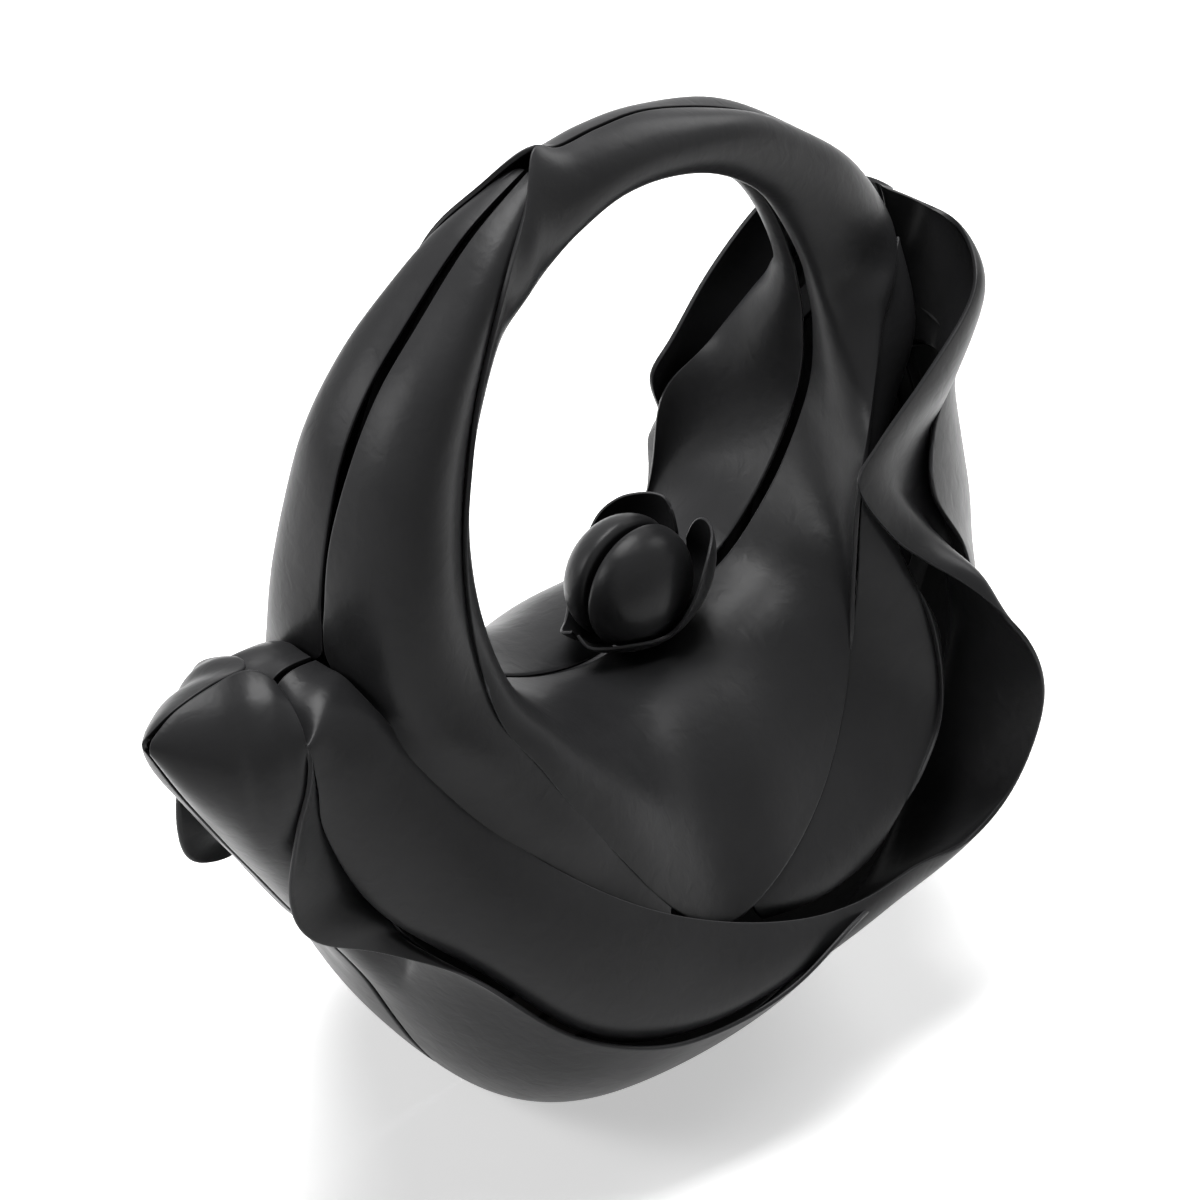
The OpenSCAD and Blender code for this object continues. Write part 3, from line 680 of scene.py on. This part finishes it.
class BAG_OT_bud(bpy.types.Operator):
    """Bud on the saddle, split in two, with the calyx round it"""

    bl_idname = "bag.bud"
    bl_label = "Bud"

    def half(self):
        """Half of the bud: flat at the slot, with a soft lip round it, and domed outside."""
        inner = BUD_R - BUD_LIP
        deep = BUD_DEPTH - SLOT - BUD_LIP
        pole = 0.01  # share of a radius that is left at the poles, and closed afterwards
        turns = [math.radians(t) for t in range(0, 90, 10)]
        # Each point: its distance from the bud's axis and from the mirror plane
        profile = [(share * inner, SLOT) for share in (pole, 0.5, 0.94)]
        profile += [(inner + BUD_LIP * math.sin(t), SLOT + BUD_LIP * (1 - math.cos(t)))
                    for t in turns[1::2]]
        profile += [(BUD_R * math.cos(t), SLOT + BUD_LIP + deep * math.sin(t)) for t in turns]
        profile.append((pole * BUD_R, BUD_DEPTH))
        shape = bmesh.new()
        last = len(profile) - 1
        bmesh.ops.create_grid(shape, x_segments=64, y_segments=last, size=1)
        for vert in shape.verts:
            turn = vert.co.x * math.pi
            r, out = profile[round((vert.co.y + 1) / 2 * last)]
            vert.co = BUD_AT + Vector((r * math.cos(turn), -out, r * math.sin(turn)))
            vert.co.z = max(vert.co.z, bud_low.z)
        bmesh.ops.remove_doubles(shape, verts=shape.verts, dist=0.01)
        bmesh.ops.holes_fill(shape, edges=shape.edges)
        bmesh.ops.recalc_face_normals(shape, faces=shape.faces)
        return shape

    def execute(self, context):
        leather_piece("bud", self.half, BUD_SKIN, shell_leather())
        leather_piece("calyx", lambda: lay(calyx, 6 * calyx.last, 16, v0=0.06),
                      CALYX, shell_leather())
        return {"FINISHED"}


class BAG_OT_base(bpy.types.Operator):
    """Flat soles and the leather hinge strip along the keel"""

    bl_idname = "bag.base"
    bl_label = "Base"

    def execute(self, context):
        low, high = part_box("keel_strip_right")
        width = -low[1]
        strip = bmesh.new()
        bmesh.ops.create_grid(strip, x_segments=60, y_segments=16, size=1)
        middle = (low[0] + high[0]) / 2
        half = (high[0] - low[0]) / 2
        for vert in strip.verts:
            vert.co = Vector((middle + vert.co.x * half, vert.co.y * width, high[2])) / MM
        piece = new_object("keel_hinge_strip", strip, sole_leather())
        wall = piece.modifiers.new("thickness", "SOLIDIFY")
        wall.thickness = high[2] - low[2]
        wall.offset = -1
        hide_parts("keel_strip_right", "keel_strip_left")
        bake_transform(piece)
        for side in BODIES:
            dress(f"sole_{side}", sole_leather())
        return {"FINISHED"}


class BAG_OT_inside(bpy.types.Operator):
    """Finishes of the pieces inside: foam cores, magnets, boards and bud cores"""

    bl_idname = "bag.inside"
    bl_label = "Inside"

    def execute(self, context):
        look = context.scene.bag_looks
        foam = plain("closed_cell_foam", look.foam, 0.8, 1.5)
        board = plain("pressed_fibre_board", look.board, 0.75, 2)
        magnet = plain("nickel_plated_magnet", "#b4b4b8", 0.3, 4, 1.0)
        for side in BODIES:
            dress(f"handle_core_{side}", foam)
            dress(f"magnets_{side}", magnet)
            for name in ("saddle_board", "base_board", "bud_core"):
                dress(f"{name}_{side}", board)
        return {"FINISHED"}


class BAG_OT_stage(bpy.types.Operator):
    """Pale floor, soft studio light and the camera"""

    bl_idname = "bag.stage"
    bl_label = "Stage"

    def execute(self, context):
        scene = context.scene
        look = scene.bag_looks
        self.camera(scene)
        self.floor(look)
        self.world(scene)
        for name, place, size, power in LAMPS:
            self.lamp(scene, name, place, power, size)
        scene.view_settings.view_transform = "Standard"
        return {"FINISHED"}

    def camera(self, scene):
        """Camera in front of the beak, on the right and above."""
        data = bpy.data.cameras.new("camera")
        data.lens = 150
        data.sensor_width = 36
        data.clip_end = 20
        camera = bpy.data.objects.new("camera", data)
        scene.collection.objects.link(camera)
        aim = put(CAMERA_AIM) * MM
        turn, rise = math.radians(CAMERA_TURN), math.radians(CAMERA_RISE)
        away = Vector((math.sin(turn) * math.cos(rise), -math.cos(turn) * math.cos(rise),
                       math.sin(rise)))
        camera.location = aim + away * CAMERA_DISTANCE
        camera.rotation_euler = (-away).to_track_quat("-Z", "Y").to_euler()
        scene.camera = camera

    def floor(self, look):
        """Pale matt floor that keeps the bag's shadow and comes out white in the picture."""
        shape = bmesh.new()
        bmesh.ops.create_grid(shape, x_segments=1, y_segments=1, size=FLOOR_SIZE)
        made, tree = new_material("pale_floor")
        paint = add_node(tree, "ShaderNodeBsdfDiffuse", {"Color": linear(look.floor)})
        glow = add_node(tree, "ShaderNodeEmission", {"Strength": FLOOR_GLOW})
        both = add_node(tree, "ShaderNodeAddShader", None,
                        {0: paint.outputs[0], 1: glow.outputs[0]})
        mix = add_node(tree, "ShaderNodeMixShader", None,
                       {0: backdrop_rays(tree), 1: paint.outputs[0], 2: both.outputs[0]})
        finish_material(tree, mix)
        floor = new_object("floor", shape, made)

    def world(self, scene):
        """White surroundings that hardly light the bag."""
        world = bpy.data.worlds.new("studio")
        world.use_nodes = True
        scene.world = world
        tree = world.node_tree
        tree.nodes.clear()
        pure = linear("#ffffff")
        light = add_node(tree, "ShaderNodeBackground", {"Color": pure, "Strength": WORLD_LIGHT})
        white = add_node(tree, "ShaderNodeBackground", {"Color": pure, "Strength": 1.0})
        mix = add_node(tree, "ShaderNodeMixShader", None,
                       {0: backdrop_rays(tree), 1: light.outputs[0], 2: white.outputs[0]})
        output = add_node(tree, "ShaderNodeOutputWorld")
        tree.links.new(mix.outputs[0], output.inputs["Surface"])

    def lamp(self, scene, name, place, power, size):
        """Square softbox that faces the bag."""
        data = bpy.data.lights.new(name, "AREA")
        data.energy = power
        data.shape = "SQUARE"
        data.size = size
        lamp = bpy.data.objects.new(name, data)
        scene.collection.objects.link(lamp)
        lamp.location = Vector(place)
        beam = Vector(LAMP_AIM) - lamp.location
        lamp.rotation_euler = beam.to_track_quat("-Z", "Y").to_euler()


class BAG_PT_panel(bpy.types.Panel):
    """Sidebar panel with the pieces and their looks"""

    bl_label = "Handbag"
    bl_idname = "BAG_PT_panel"
    bl_space_type = "VIEW_3D"
    bl_region_type = "UI"
    bl_category = "Handbag"

    def draw(self, context):
        for group in (context.scene.bag_sizes, context.scene.bag_looks):
            for name in group.__annotations__:
                self.layout.prop(group, name)
        for operator in OPERATORS:
            self.layout.operator(operator.bl_idname)


OPERATORS = (BAG_OT_stage, BAG_OT_hull, BAG_OT_band, BAG_OT_leaf, BAG_OT_lobe, BAG_OT_sheath,
             BAG_OT_lining, BAG_OT_bud, BAG_OT_base, BAG_OT_inside)
CLASSES = (HandbagSizes, HandbagLooks, *OPERATORS, BAG_PT_panel)


def register():
    for cls in CLASSES:
        bpy.utils.register_class(cls)
    bpy.types.Scene.bag_sizes = PointerProperty(type=HandbagSizes)
    bpy.types.Scene.bag_looks = PointerProperty(type=HandbagLooks)


def unregister():
    del bpy.types.Scene.bag_looks
    del bpy.types.Scene.bag_sizes
    for cls in reversed(CLASSES):
        bpy.utils.unregister_class(cls)


def main():
    register()
    bpy.ops.bag.stage()
    bpy.ops.bag.hull()
    bpy.ops.bag.band()
    bpy.ops.bag.leaf()
    bpy.ops.bag.lobe()
    bpy.ops.bag.sheath()
    bpy.ops.bag.lining()
    bpy.ops.bag.bud()
    bpy.ops.bag.base()
    bpy.ops.bag.inside()


if __name__ == "__main__":
    main()
